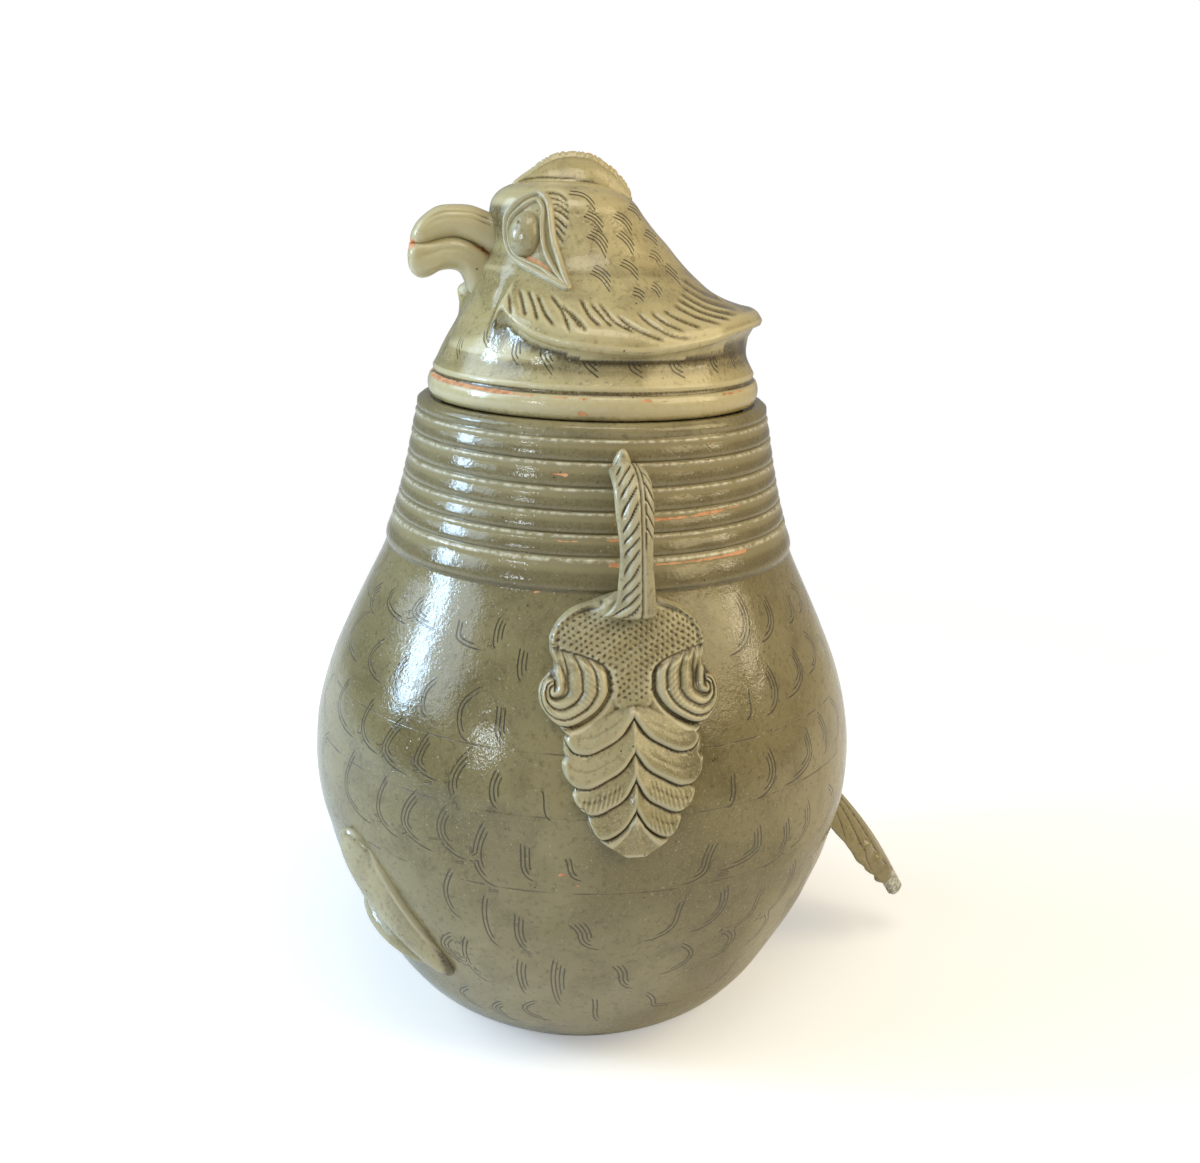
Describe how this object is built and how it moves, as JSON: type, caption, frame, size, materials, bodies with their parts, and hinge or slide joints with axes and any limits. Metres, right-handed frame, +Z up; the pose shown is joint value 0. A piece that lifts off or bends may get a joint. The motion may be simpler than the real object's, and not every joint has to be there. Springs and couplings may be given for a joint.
{
  "type": "owl-shaped lidded jar",
  "caption": "Round glazed stoneware jar shaped as an owl, with a ribbed neck, strap handles, relief wings, feet, a tail and a lift-off lid that is the owl's head.",
  "frame": {"origin": "centre of the flat base, on the surface the jar stands on", "axes": "+Z up along the pot's axis, -Y the way the owl looks, +X the owl's left side"},
  "size_m": [0.259, 0.2951, 0.3894],
  "materials": {
    "pot_glaze": "glossy olive-grey celadon glaze on stoneware, speckled",
    "lid_glaze": "glossy olive celadon glaze with bare orange clay on sharp edges",
    "relief_glaze": "glossy grey-green celadon glaze, pooled dark in the cuts"
  },
  "bodies": {
    "jar": {"jar_body": "pot_glaze", "left_handle": "relief_glaze", "right_handle": "relief_glaze", "left_handle_knob": "relief_glaze", "right_handle_knob": "relief_glaze", "left_wing": "relief_glaze", "right_wing": "relief_glaze", "left_leg": "relief_glaze", "right_leg": "relief_glaze", "left_toe": "relief_glaze", "right_toe": "relief_glaze", "tail": "pot_glaze"},
    "lid": {"lid_body": "lid_glaze", "crest": "lid_glaze", "upper_beak": "lid_glaze", "lower_beak": "lid_glaze", "left_eyeball": "relief_glaze", "right_eyeball": "relief_glaze", "left_eyelid": "relief_glaze", "right_eyelid": "relief_glaze"}
  },
  "joints": [
    {"name": "lid_lift", "type": "slide", "parent": "jar", "child": "lid", "axis": [0, 0, 1], "range_m": [0, 0.15]}
  ]
}
